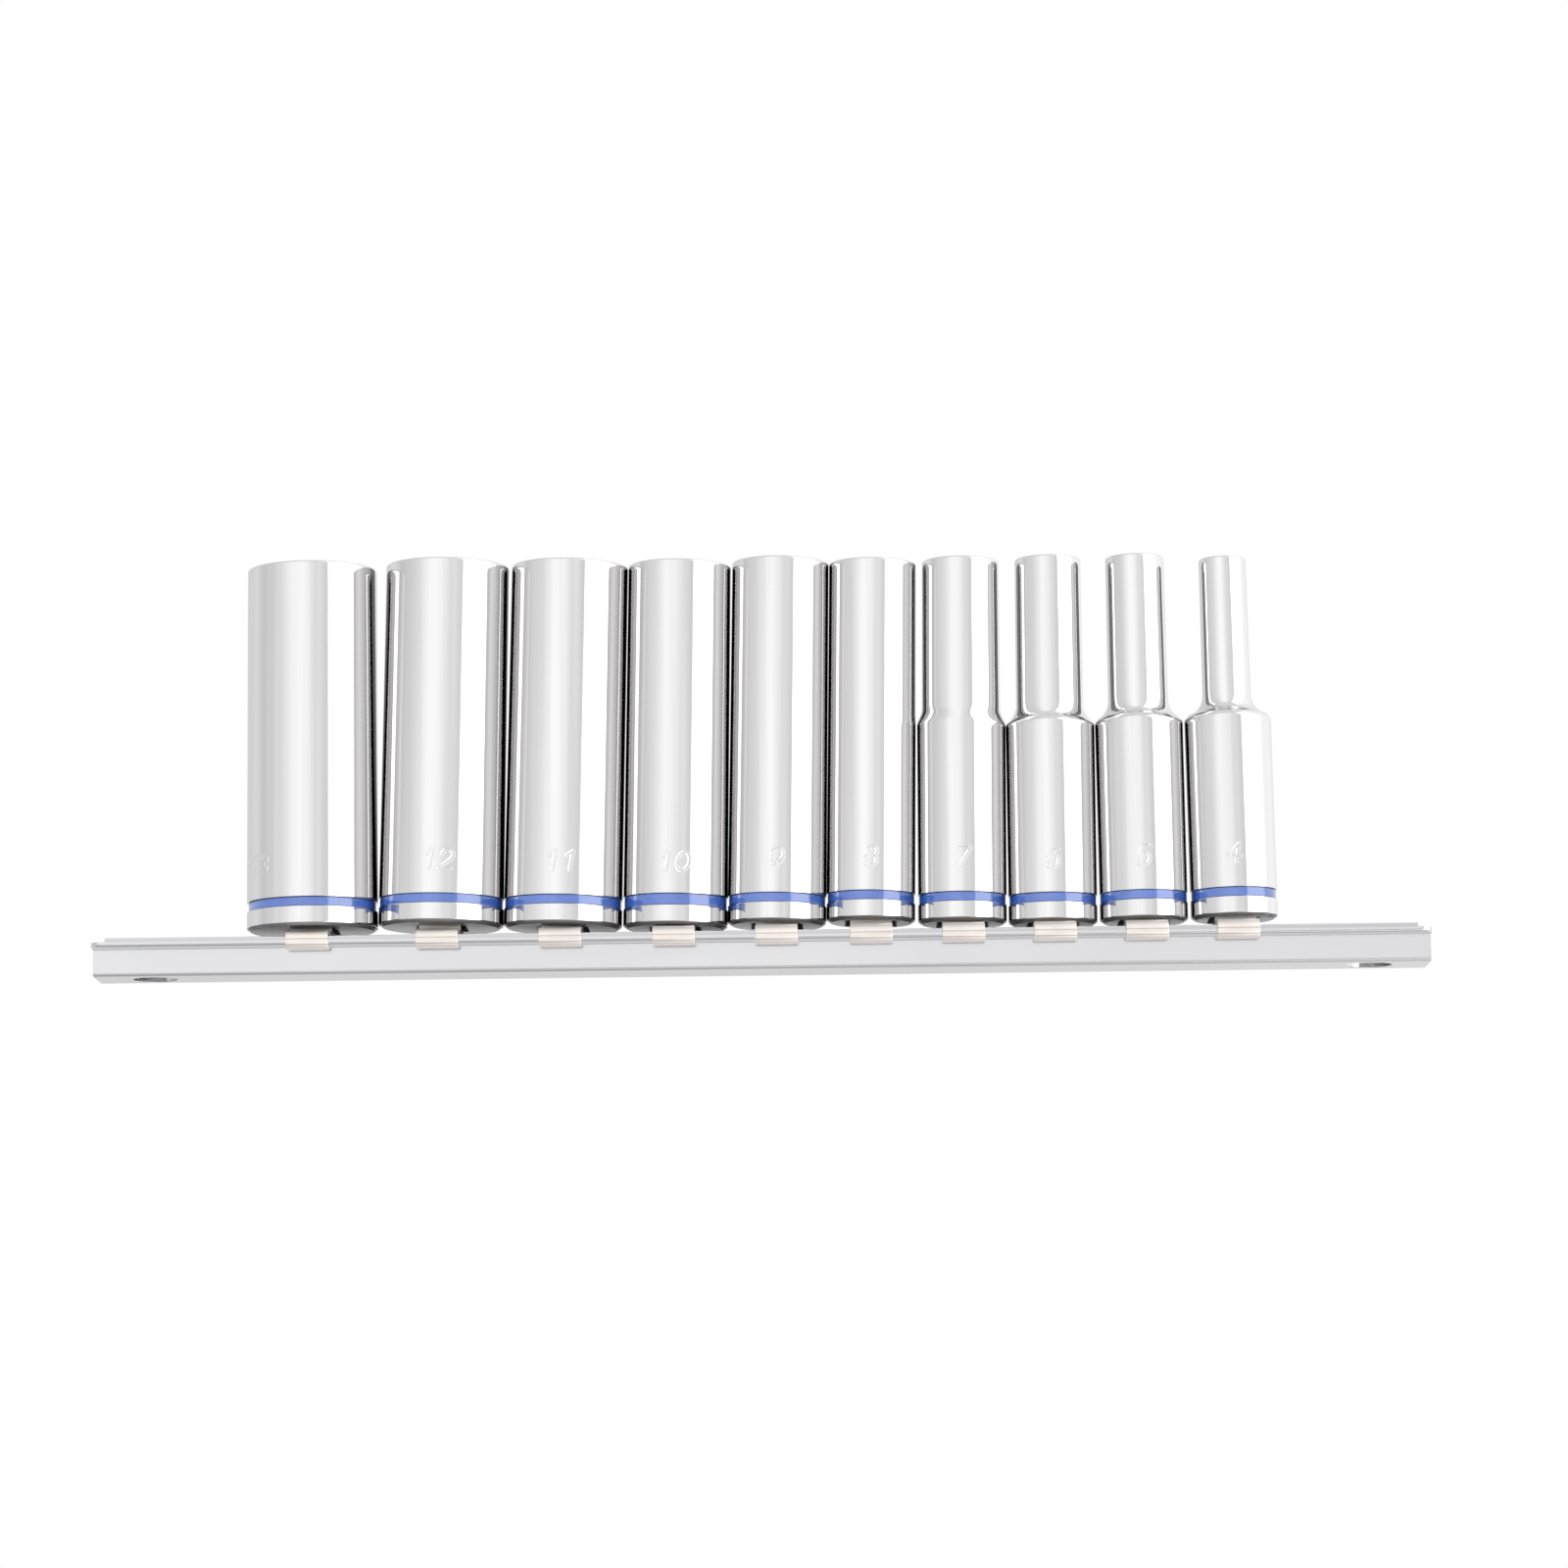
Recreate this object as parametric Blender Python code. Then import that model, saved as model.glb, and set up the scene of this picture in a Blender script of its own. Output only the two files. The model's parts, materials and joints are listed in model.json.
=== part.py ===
"""Socket rail: ten deep quarter-inch-drive sockets on sliding spring clips.

The rail lies on its flat back with +Z along the sockets, +X along the rail towards the
smallest socket, and the origin under the middle of the back. All sizes are in metres.
"""
import math
from collections import namedtuple

import bmesh
import bpy
import numpy as np

# Rail: one strip of sheet bent to a hat section, each edge folded back on top as a hem
RAIL_LENGTH = 0.180
RAIL_HEIGHT = 0.0048
BACK_HALF_WIDTH = 0.00475
FLANGE_WIDTH = 0.00335
SHEET = 0.0006
BEND_RADIUS = 0.00015
HEM_SETBACK = 0.0003
HEM_SHORTFALL = 0.0020
HEM_STUMP = 0.00006
CORNER_SHARE = 0.6
HOLE_RADIUS = 0.0030
HOLE_FROM_END = 0.0079

# Spring clips: a flat strip that grips both hems and rises between them as a stud
CLIP_WIDTH = 0.0057
CLIP_STRIP = 0.0005
CLIP_PLAY = 0.0003
CLIP_HOOK = 0.0012
STUD_HEIGHT = 0.0080
STUD_ROOT = 0.00215
STUD_BULGE = 0.00265
STUD_FOOT_RADIUS = 0.0006

# Sockets: what all ten share
SEAT_PLAY = 0.0003
SIDE_PLAY = 0.00007
ROW_SHIFT = 0.0016
DRAFT = 0.00012
BASE_CHAMFER_HEIGHT = 0.0004
BASE_CHAMFER_WIDTH = 0.0006
MOUTH_EDGE = 0.0003
MOUTH_LEAD = 0.0004
SQUARE_HALF = 0.003225
SQUARE_DEPTH = 0.0092
SQUARE_LEAD = 0.0004
PASSAGE_RADIUS = 0.0019
BORE_FLOOR = 0.0140
HEX_DEPTH_BASE = 0.0040
HEX_DEPTH_SHARE = 0.55
BORE_RELIEF = 0.0001

# The groove near the base and the coloured band in it
GROOVE_START = 0.0026
GROOVE_DEPTH = 0.0009
GROOVE_SLANT = 0.00004
BAND_THICKNESS = 0.0006
BAND_PLAY = 0.00004

# The stepped shoulder of the four small sockets
SHOULDER_HEIGHT = 0.0274
CONE_HEIGHT = 0.00175
CORNER_WIDTH = 0.0005
CORNER_HEIGHT = 0.0006
FILLET_RADIUS = 0.0030

# Across flats, drive end and mouth diameters, length, groove width, shoulder, lean to the right in
# degrees, and how far the socket has stopped short of its clip's seat
Socket = namedtuple("Socket", "label flats drive mouth length groove kind lean lift")
SOCKETS = (
    Socket("13", 0.0131, 0.0178, 0.0178, 0.0497, 0.0013, "plain", -0.1, 0.00030),
    Socket("12", 0.0121, 0.0169, 0.0169, 0.0497, 0.0013, "plain", 1.2, 0.00060),
    Socket("11", 0.0111, 0.0160, 0.0160, 0.0498, 0.0013, "plain", 1.42, 0.00028),
    Socket("10", 0.0101, 0.0141, 0.0141, 0.0499, 0.0016, "plain", 1.15, 0.00005),
    Socket("9", 0.0091, 0.0133, 0.0133, 0.0499, 0.0013, "plain", 1.15, 0.00035),
    Socket("8", 0.0081, 0.0120, 0.0120, 0.0494, 0.0013, "plain", 1.0, 0.00058),
    Socket("7", 0.0071, 0.0120, 0.0106, 0.0499, 0.0013, "cone", 0.5, 0.00025),
    Socket("6", 0.0061, 0.0120, 0.0091, 0.0503, 0.0013, "fillet", 0.1, 0.00000),
    Socket("5", 0.0051, 0.0120, 0.0082, 0.0502, 0.0013, "fillet", -0.4, 0.00020),
    Socket("4", 0.0041, 0.0120, 0.0068, 0.0496, 0.0013, "fillet", -0.7, 0.00045),
)

# Points round a ring. Hexagon and square corners both fall on multiples of 15 degrees.
RING_POINTS = 24
ARC_STEPS = 4
BULGE_STEPS = 6

RAIL_HALF_WIDTH = BACK_HALF_WIDTH + FLANGE_WIDTH
FLANGE_FLAT = FLANGE_WIDTH - HEM_SETBACK - SHEET
FLANGE_TOP = RAIL_HEIGHT - SHEET
CLIP_TOP = RAIL_HEIGHT + CLIP_PLAY + CLIP_STRIP
SOCKET_BASE = CLIP_TOP + SEAT_PLAY


def clear_scene():
    for old in list(bpy.data.objects):
        bpy.data.objects.remove(old, do_unlink=True)


def material(name, colour, roughness, metallic):
    made = bpy.data.materials.new(name)
    made.use_nodes = True
    shader = made.node_tree.nodes["Principled BSDF"]
    shader.inputs["Base Color"].default_value = (*colour, 1)
    shader.inputs["Roughness"].default_value = roughness
    shader.inputs["Metallic"].default_value = metallic
    made.diffuse_color = (*colour, 1)
    return made


def add_object(name, points, faces, finish):
    mesh = bpy.data.meshes.new(name)
    mesh.from_pydata([tuple(p) for p in points], [], faces)
    body = bmesh.new()
    body.from_mesh(mesh)
    bmesh.ops.recalc_face_normals(body, faces=body.faces)
    body.to_mesh(mesh)
    body.free()
    mesh.materials.append(finish)
    mesh.shade_smooth()
    mesh.set_sharp_from_angle(angle=math.radians(30))
    made = bpy.data.objects.new(name, mesh)
    bpy.context.collection.objects.link(made)
    return made


def loft(name, rings, finish, closed_tube):
    """Join rings of equal point counts, round to the first again or with a cap at each end."""
    count = len(rings[0])
    points = np.concatenate(rings)
    faces = []
    spans = len(rings) if closed_tube else len(rings) - 1
    for row in range(spans):
        low = row * count
        high = (row + 1) % len(rings) * count
        for i in range(count):
            j = (i + 1) % count
            faces.append((low + i, low + j, high + j, high + i))
    if not closed_tube:
        faces.append(tuple(reversed(range(count))))
        faces.append(tuple(range(len(points) - count, len(points))))
    return add_object(name, points, faces, finish)


def arc(centre, radius, start, end, steps):
    """Points on an arc in the (y, z) plane, from one angle in degrees to another."""
    angles = np.radians(np.linspace(start, end, steps + 1))
    return [(centre[0] + radius * math.cos(a), centre[1] + radius * math.sin(a)) for a in angles]


def mirrored(half):
    """A half outline on +Y, from its first to its last point, and then back along -Y."""
    other = [(-y, z) for y, z in reversed(half) if y > 0]
    return half + other


def rail_section(edge_loss):
    """The hat section, its hems folded back on the flanges, each edge drawn in by edge_loss."""
    outer = BEND_RADIUS + SHEET
    inside = BACK_HALF_WIDTH - SHEET
    hem_tip = BACK_HALF_WIDTH + HEM_SETBACK
    half = [(0, 0)]
    half += arc((BACK_HALF_WIDTH - outer, outer), outer, -90, 0, ARC_STEPS)
    half += [(BACK_HALF_WIDTH, FLANGE_TOP - SHEET)]
    half += arc((RAIL_HALF_WIDTH - SHEET - edge_loss, FLANGE_TOP), SHEET, -90, 90, 2 * ARC_STEPS)
    half += [(hem_tip, RAIL_HEIGHT), (hem_tip, FLANGE_TOP)]
    half += arc((inside + outer, FLANGE_TOP - outer), outer, 90, 180, ARC_STEPS)
    half += arc((inside - BEND_RADIUS, SHEET + BEND_RADIUS), BEND_RADIUS, 0, -90, ARC_STEPS)
    half += [(0, SHEET)]
    return mirrored(half)


def cut(rail, cutter, name):
    cutter.name = f"cutter_{name}"
    cutter.hide_render = True
    cutter.display_type = "WIRE"
    taken = rail.modifiers.new(name, "BOOLEAN")
    taken.operation = "DIFFERENCE"
    taken.solver = "EXACT"
    taken.object = cutter


def build_rail(finish):
    steps = np.linspace(0, 1, ARC_STEPS + 1)
    corner = CORNER_SHARE * FLANGE_FLAT
    from_end = corner * (1 - np.cos(steps * math.pi / 2))
    losses = corner * (1 - np.sin(steps * math.pi / 2))
    stations = [(-RAIL_LENGTH / 2 + d, loss) for d, loss in zip(from_end, losses)]
    stations += [(-x, loss) for x, loss in reversed(stations)]
    rings = [[(x, y, z) for y, z in rail_section(loss)] for x, loss in stations]
    rail = loft("rail", rings, finish, False)
    for side, label in ((-1, "left"), (1, "right")):
        end = side * RAIL_LENGTH / 2
        bpy.ops.mesh.primitive_cylinder_add(vertices=RING_POINTS, radius=HOLE_RADIUS, depth=4 * SHEET)
        bpy.context.object.location = (end - side * HOLE_FROM_END, 0, 0)
        cut(rail, bpy.context.object, f"hole_{label}")
        bpy.ops.mesh.primitive_cube_add(size=1)
        bpy.context.object.scale = (2 * HEM_SHORTFALL, 4 * RAIL_HALF_WIDTH, 2 * SHEET)
        bpy.context.object.location = (end, 0, FLANGE_TOP + HEM_STUMP + SHEET)
        cut(rail, bpy.context.object, f"hem_end_{label}")
    return rail


def clip_centreline():
    """The strip's middle line on +Y, from the top of the stud down and out to the hook's tip."""
    foot = CLIP_TOP - CLIP_STRIP / 2
    grip = SHEET + CLIP_PLAY + CLIP_STRIP / 2
    crown = (0, CLIP_TOP + STUD_HEIGHT - CLIP_STRIP / 2 - STUD_ROOT)
    edge = (RAIL_HALF_WIDTH - SHEET, FLANGE_TOP)
    line = arc(crown, STUD_ROOT, 90, 0, ARC_STEPS)
    start = foot + STUD_FOOT_RADIUS
    for step in range(1, BULGE_STEPS):
        share = step / BULGE_STEPS
        swell = math.sin(math.pi * share) ** 2
        line.append((STUD_ROOT + (STUD_BULGE - STUD_ROOT) * swell, crown[1] + (start - crown[1]) * share))
    line += arc((STUD_ROOT + STUD_FOOT_RADIUS, start), STUD_FOOT_RADIUS, 180, 270, ARC_STEPS - 2)
    line += arc(edge, grip, 90, -90, 2 * ARC_STEPS)
    line += [(edge[0] - CLIP_HOOK, edge[1] - grip)]
    return line


def clip_outline():
    """Both faces of the strip, half its thickness to each side of the middle line."""
    half = clip_centreline()
    line = np.array([(-y, z) for y, z in reversed(half[1:])] + half)
    along = np.gradient(line, axis=0)
    along /= np.linalg.norm(along, axis=1)[:, None]
    across = np.stack([-along[:, 1], along[:, 0]], axis=1) * CLIP_STRIP / 2
    return np.concatenate([line + across, (line - across)[::-1]])


def build_clip(label, centre, finish):
    outline = clip_outline()
    rings = [[(x, y, z) for y, z in outline] for x in (-CLIP_WIDTH / 2, CLIP_WIDTH / 2)]
    clip = loft(f"clip_{label}", rings, finish, False)
    clip.location = (centre, 0, 0)
    return clip


def polygon_ring(sides, apothem, first_corner, height):
    """A ring whose points lie on a regular polygon, its corners among them."""
    turns = np.radians(np.arange(RING_POINTS) * 360 / RING_POINTS)
    sector = 2 * math.pi / sides
    within = (turns - math.radians(first_corner)) % sector - sector / 2
    reach = apothem / np.cos(within)
    return np.stack([reach * np.cos(turns), reach * np.sin(turns), np.full(RING_POINTS, height)], axis=1)


def round_ring(radius, height):
    turns = np.radians(np.arange(RING_POINTS) * 360 / RING_POINTS)
    return np.stack([radius * np.cos(turns), radius * np.sin(turns), np.full(RING_POINTS, height)], axis=1)


def shoulder_profile(kind, drive, mouth):
    """Radius and height from the drive end cylinder to the narrower neck."""
    if kind == "plain":
        return []
    if kind == "cone":
        return [(drive, SHOULDER_HEIGHT), (mouth, SHOULDER_HEIGHT + CONE_HEIGHT)]
    inner = drive - CORNER_WIDTH
    low = SHOULDER_HEIGHT + CORNER_HEIGHT
    start = math.acos(1 - (inner - mouth) / FILLET_RADIUS)
    top = low + FILLET_RADIUS * math.sin(start)
    profile = [(drive, SHOULDER_HEIGHT)]
    for turn in np.linspace(start, 0, ARC_STEPS):
        radius = mouth + FILLET_RADIUS * (1 - math.cos(turn))
        profile.append((radius, top - FILLET_RADIUS * math.sin(turn)))
    return profile


def socket_outside(size):
    """Radius and height up the outside, from the base's rim to the mouth's."""
    drive = size.drive / 2
    mouth = size.mouth / 2
    lip = mouth - DRAFT
    floor = drive - GROOVE_DEPTH
    groove_end = GROOVE_START + size.groove
    profile = [(drive - BASE_CHAMFER_WIDTH, 0), (drive, BASE_CHAMFER_HEIGHT)]
    profile += [(drive, GROOVE_START), (floor, GROOVE_START + GROOVE_SLANT)]
    profile += [(floor, groove_end - GROOVE_SLANT), (drive, groove_end)]
    profile += shoulder_profile(size.kind, drive, mouth)
    profile += [(lip, size.length - MOUTH_EDGE), (lip - MOUTH_EDGE, size.length)]
    return profile


def socket_inside(size):
    """Rings down the inside: hexagon mouth, relieved bore, narrow passage, square drive."""
    apothem = size.flats / 2
    corner = apothem / math.cos(math.pi / 6)
    relief = corner + BORE_RELIEF
    hex_floor = size.length - HEX_DEPTH_BASE - HEX_DEPTH_SHARE * size.flats
    passage = min(PASSAGE_RADIUS, relief - BORE_RELIEF)
    rings = [round_ring(corner + MOUTH_LEAD / 2, size.length)]
    rings += [polygon_ring(6, apothem, 0, size.length - MOUTH_LEAD)]
    rings += [polygon_ring(6, apothem, 0, hex_floor)]
    rings += [round_ring(relief, hex_floor - BORE_RELIEF)]
    rings += [round_ring(relief, BORE_FLOOR + (relief - passage) / 2)]
    rings += [round_ring(passage, BORE_FLOOR)]
    rings += [round_ring(passage, SQUARE_DEPTH)]
    rings += [polygon_ring(4, SQUARE_HALF, 45, SQUARE_DEPTH)]
    rings += [polygon_ring(4, SQUARE_HALF, 45, SQUARE_LEAD)]
    rings += [polygon_ring(4, SQUARE_HALF + SQUARE_LEAD, 45, 0)]
    return rings


def place(piece, centre, size):
    """Stand a piece over the clip's seat, leant about the middle of its base."""
    piece.location = (centre, 0, SOCKET_BASE + size.lift)
    piece.rotation_euler = (0, math.radians(size.lean), 0)


def build_socket(size, centre, finish):
    rings = [round_ring(radius, height) for radius, height in socket_outside(size)]
    socket = loft(f"socket_{size.label}", rings + socket_inside(size), finish, True)
    place(socket, centre, size)
    return socket


def build_band(size, centre, finish):
    floor = size.drive / 2 - GROOVE_DEPTH + BAND_PLAY
    low = GROOVE_START + GROOVE_SLANT + BAND_PLAY
    high = GROOVE_START + size.groove - GROOVE_SLANT - BAND_PLAY
    outer = floor + BAND_THICKNESS
    rings = [round_ring(floor, low), round_ring(outer, low), round_ring(outer, high), round_ring(floor, high)]
    band = loft(f"band_{size.label}", rings, finish, True)
    place(band, centre, size)
    return band


def lean_room(left, right):
    """Extra room at the base for two sockets that lean towards each other.

    A socket that is pulled off brings its full radius up beside its neighbour's mouth, so
    only the draft of one of them gives room back.
    """
    drafted = "plain" in (left.kind, right.kind)
    meeting = max(left.length, right.length) if drafted else SHOULDER_HEIGHT
    closing = math.sin(math.radians(left.lean - right.lean)) * meeting
    return max(0, closing - drafted * DRAFT)


def socket_centres():
    """Places along the rail, side by side, with the row's middle a little right of the rail's."""
    centres = [0]
    for left, right in zip(SOCKETS, SOCKETS[1:]):
        pitch = (left.drive + right.drive) / 2 + SIDE_PLAY + lean_room(left, right)
        centres.append(centres[-1] + pitch)
    middle = (centres[0] + centres[-1]) / 2 - ROW_SHIFT
    return [centre - middle for centre in centres]


def build():
    clear_scene()
    chrome = material("rail_chrome", (0.72, 0.73, 0.75), 0.18, 1)
    polished = material("socket_chrome", (0.80, 0.80, 0.81), 0.06, 1)
    spring = material("spring_steel", (0.80, 0.74, 0.66), 0.35, 0.6)
    blue = material("blue_band", (0.06, 0.14, 0.55), 0.4, 0)
    build_rail(chrome)
    for centre, size in zip(socket_centres(), SOCKETS):
        build_clip(size.label, centre, spring)
        build_socket(size, centre, polished)
        build_band(size, centre, blue)
        print(f"socket {size.label}: x {centre * 1000:.3f} mm, lean {size.lean} degrees")


build()
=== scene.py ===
# %% [markdown]
# # A row of deep sockets on a spring-clip rail
#
# The object is a strip of plated sheet, bent to a shallow hat, with ten spring clips on its
# edges. A deep socket stands on the stud of each clip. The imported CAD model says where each
# piece is. This lesson gives each piece its real surface and finish, one kind at a time.

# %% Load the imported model
import json
import math
from collections import namedtuple

import bpy
import numpy as np
from mathutils import Matrix, Vector


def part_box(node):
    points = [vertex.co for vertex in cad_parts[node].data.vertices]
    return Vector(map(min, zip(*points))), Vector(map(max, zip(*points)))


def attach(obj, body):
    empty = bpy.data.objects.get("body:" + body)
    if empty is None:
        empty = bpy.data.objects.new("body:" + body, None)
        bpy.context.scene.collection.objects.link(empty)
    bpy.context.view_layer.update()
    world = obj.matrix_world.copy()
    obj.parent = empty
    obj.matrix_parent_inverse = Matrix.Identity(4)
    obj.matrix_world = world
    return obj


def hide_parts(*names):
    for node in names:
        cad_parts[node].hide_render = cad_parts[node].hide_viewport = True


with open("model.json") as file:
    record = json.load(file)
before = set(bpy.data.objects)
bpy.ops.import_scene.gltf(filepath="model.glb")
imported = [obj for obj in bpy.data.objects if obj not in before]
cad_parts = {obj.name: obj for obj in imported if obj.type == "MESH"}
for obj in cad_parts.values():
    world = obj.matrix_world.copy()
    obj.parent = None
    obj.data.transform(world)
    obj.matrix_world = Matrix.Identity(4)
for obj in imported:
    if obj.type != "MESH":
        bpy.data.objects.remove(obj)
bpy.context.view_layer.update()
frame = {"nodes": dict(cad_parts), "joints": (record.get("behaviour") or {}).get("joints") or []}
socket_nodes = [name for name in frame["nodes"] if name.startswith("socket_")]
sizes = sorted((int(name.split("_")[1]) for name in socket_nodes), reverse=True)
print("sockets on the rail, in millimetres across flats:", sizes)

# %% [markdown]
# ## The camera
#
# The sockets look tall and the rail shows its underside, so the photograph was taken from
# a little below the rail with a long lens. The place and turn come from a least-squares fit of
# the sockets' edges and rims. A camera looks along its own -Z, so the matrix below has
# the right, up and backward directions as its columns.

# %% Place the camera
LENS = 128.57
SENSOR = 36
CAMERA_AT = (0.01226, -0.75326, -0.08331)
YAW = math.radians(-0.683)
PITCH = math.radians(8.235)
ROLL = math.radians(-0.615)


def camera_turn(yaw, pitch, roll):
    """Turn that looks along (sin yaw cos pitch, cos yaw cos pitch, sin pitch), rolled about that line."""
    ahead = Vector((math.sin(yaw) * math.cos(pitch), math.cos(yaw) * math.cos(pitch), math.sin(pitch)))
    level = Vector((math.cos(yaw), -math.sin(yaw), 0))
    upright = level.cross(ahead)
    right = level * math.cos(roll) + upright * math.sin(roll)
    up = upright * math.cos(roll) - level * math.sin(roll)
    return Matrix((right, up, -ahead)).transposed()


lens = bpy.data.cameras.new("camera")
lens.sensor_width = SENSOR
lens.lens = LENS
camera = bpy.data.objects.new("camera", lens)
bpy.context.scene.collection.objects.link(camera)
camera.matrix_world = Matrix.LocRotScale(Vector(CAMERA_AT), camera_turn(YAW, PITCH, ROLL), None)
bpy.context.scene.camera = camera
print("the camera stands", round(camera.location.length * 1000), "mm from the middle of the rail")

# %% [markdown]
# ## Surfaces from grids
#
# Every piece here is a grid: a closed or open profile carried round a circle or along a path.
# One helper joins the grid's points with quads, one puts the arrays into a mesh, and one
# closes the two ends of a tube. Places are worked out in millimetres, because that is how
# the tools are measured.

# %% Helpers: a grid's quads, and a mesh from arrays
MM = 0.001
PER_METRE = 1000
SHARP = 32
SQUARE = np.array([(-1, -1), (1, -1), (1, 1), (-1, 1)])


def grid_quads(rows, columns, join_rows=False, join_columns=False):
    """Quads between neighbours (i, j), (i, j+1), (i+1, j+1), (i+1, j), each way open or joined up."""
    i = np.arange(rows - (not join_rows))[:, None]
    j = np.arange(columns - (not join_columns))[None, :]
    up = (i + 1) % rows
    on = (j + 1) % columns
    corners = np.broadcast_arrays(i * columns + j, i * columns + on, up * columns + on, up * columns + j)
    return np.stack(corners, axis=-1).reshape(-1, 4)


def add_piece(name, points, quads, caps=()):
    """Mesh object from points (n, 3) in mm, quads (m, 4) and end caps, smooth below the sharp angle."""
    mesh = bpy.data.meshes.new(name)
    corners = np.concatenate([quads.ravel(), *caps]).astype(np.int32)
    counts = np.concatenate([np.full(len(quads), 4), [len(cap) for cap in caps]]).astype(np.int32)
    mesh.vertices.add(len(points))
    mesh.vertices.foreach_set("co", (points * MM).astype(np.float32).ravel())
    mesh.loops.add(len(corners))
    mesh.loops.foreach_set("vertex_index", corners)
    mesh.polygons.add(len(counts))
    mesh.polygons.foreach_set("loop_start", np.cumsum(counts, dtype=np.int32) - counts)
    mesh.update(calc_edges=True)
    mesh.shade_smooth()
    mesh.set_sharp_from_angle(angle=math.radians(SHARP))
    piece = bpy.data.objects.new(name, mesh)
    bpy.context.scene.collection.objects.link(piece)
    return piece


def add_tube(name, rings):
    """Tube through rings (rows, columns, 3), closed by its first ring backwards and its last forwards."""
    rows, columns = rings.shape[:2]
    first = np.arange(columns)
    caps = (first[::-1], (rows - 1) * columns + first)
    return add_piece(name, rings.reshape(-1, 3), grid_quads(rows, columns, join_columns=True), caps)


print("a grid of 3 by 4 points has", len(grid_quads(3, 4)), "quads")

# %% Helpers: swap a CAD node for its finished piece
def stand_for(piece, node, body, finish):
    """The piece gets its finish and joins the body, and the CAD node is hidden."""
    piece.data.materials.append(finish)
    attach(piece, body)
    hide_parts(node)
    return piece


def add_values(piece, name, values):
    """One number for each point of the mesh, which a finish can read as an attribute."""
    layer = piece.data.attributes.new(name, "FLOAT", "POINT")
    layer.data.foreach_set("value", values.ravel().astype(np.float32))


def cad_points(node):
    """All corners of a CAD node, in millimetres."""
    mesh = frame["nodes"][node].data
    flat = np.empty(len(mesh.vertices) * 3, np.float32)
    mesh.vertices.foreach_get("co", flat)
    return flat.reshape(-1, 3).astype(float) * PER_METRE


print("the rail measures", np.ptp(cad_points("rail"), axis=0).round(2), "mm")

# %% [markdown]
# ## Soft corners
#
# No edge on a plated tool is quite sharp: the polishing and the plating round it, and the
# rounding is what catches the light. A profile is first drawn with corners, then each
# corner becomes a small curve, which takes less than half of either side. Long sides get one
# more point near each end, so that the smooth shading of the curve doesn't spread along them.

# %% Helpers: round a profile's corners, and hold its long sides flat
SIDE_SHARE = 0.46


def rounded(corners, reach, steps=4):
    """Each inner corner P turns into the curve (1-s)^2 A + 2s(1-s) P + s^2 B.

    A and B lie on the corner's two sides, at reach from it.
    """
    corners = np.asarray(corners, float)
    back = corners[:-2] - corners[1:-1]
    ahead = corners[2:] - corners[1:-1]
    far_back = np.linalg.norm(back, axis=1)
    far_ahead = np.linalg.norm(ahead, axis=1)
    reach = np.minimum(reach, SIDE_SHARE * np.minimum(far_back, far_ahead))
    a = (corners[1:-1] + back * (reach / far_back)[:, None])[:, None]
    b = (corners[1:-1] + ahead * (reach / far_ahead)[:, None])[:, None]
    s = np.linspace(0, 1, steps + 1)[None, :, None]
    curves = (1 - s) ** 2 * a + 2 * s * (1 - s) * corners[1:-1][:, None] + s ** 2 * b
    return np.concatenate([corners[:1], curves.reshape(-1, 2), corners[-1:]])


def held_flat(path, gap):
    """The path with two more points, at gap from either end, on each side longer than four gaps."""
    side = np.diff(path, axis=0)
    length = np.linalg.norm(side, axis=1)
    step = side / length[:, None] * gap
    trio = np.stack([path[:-1], path[:-1] + step, path[1:] - step], axis=1)
    keep = np.stack([length > 0, length > 4 * gap, length > 4 * gap], axis=1)
    return np.concatenate([trio[keep], path[-1:]])


print("a rounded right angle has", len(rounded([(0, 0), (1, 0), (1, 1)], 0.2)), "points")

# %% [markdown]
# ## Shader maths as Python
#
# A finish is a small formula on the place: a little more roughness here, a darker crease
# there. Wrapping a socket in a class with the arithmetic operators lets the formula be
# written as one, and each operator adds its Math node. All other nodes come from one method.

# %% A socket that can be added and multiplied
class Wire:
    """One socket of a node tree. Arithmetic on it adds Math nodes."""

    def __init__(self, sheet, socket):
        self.sheet = sheet
        self.socket = socket

    def __add__(self, other): return self.sheet.maths("ADD", self, other)
    def __sub__(self, other): return self.sheet.maths("SUBTRACT", self, other)
    def __mul__(self, other): return self.sheet.maths("MULTIPLY", self, other)
    def __truediv__(self, other): return self.sheet.maths("DIVIDE", self, other)
    def __rsub__(self, other): return self.sheet.maths("SUBTRACT", other, self)
    __radd__ = __add__

    def smooth(self, low, high):
        """0 below low, 1 above high, and a smooth step between."""
        span = {"interpolation_type": "SMOOTHSTEP"}
        return self.sheet.node("MapRange", span, {"Value": self, "From Min": low, "From Max": high})


print("a Wire can be added, subtracted, multiplied, divided and stepped")

# %% The sheet that the wires run on
class Sheet:
    """A node tree of one finish, emptied to start with."""

    def __init__(self, tree):
        self.tree = tree
        tree.nodes.clear()

    def node(self, kind, settings=None, inputs=None, out=0):
        """Any node: its settings first, ramp stops among them, then values or wires for its sockets."""
        made = self.tree.nodes.new("ShaderNode" + kind)
        for name, value in (settings or {}).items():
            if name == "stops":
                self.set_stops(made.color_ramp.elements, value)
            else:
                setattr(made, name, value)
        for name, value in (inputs or {}).items():
            if isinstance(value, Wire):
                self.tree.links.new(value.socket, made.inputs[name])
            else:
                made.inputs[name].default_value = value
        return Wire(self, made.outputs[out]) if made.outputs else None

    def maths(self, operation, *terms):
        """A Math node on wires and numbers."""
        return self.node("Math", {"operation": operation}, dict(enumerate(terms)))

    def set_stops(self, elements, stops):
        """Grey stops at the places, which rise from the first to the last."""
        while len(elements) > 1:
            elements.remove(elements[-1])
        for place, level in stops:
            element = elements[0] if place == stops[0][0] else elements.new(place)
            element.position = place
            element.color = (level, level, level, 1)


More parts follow.
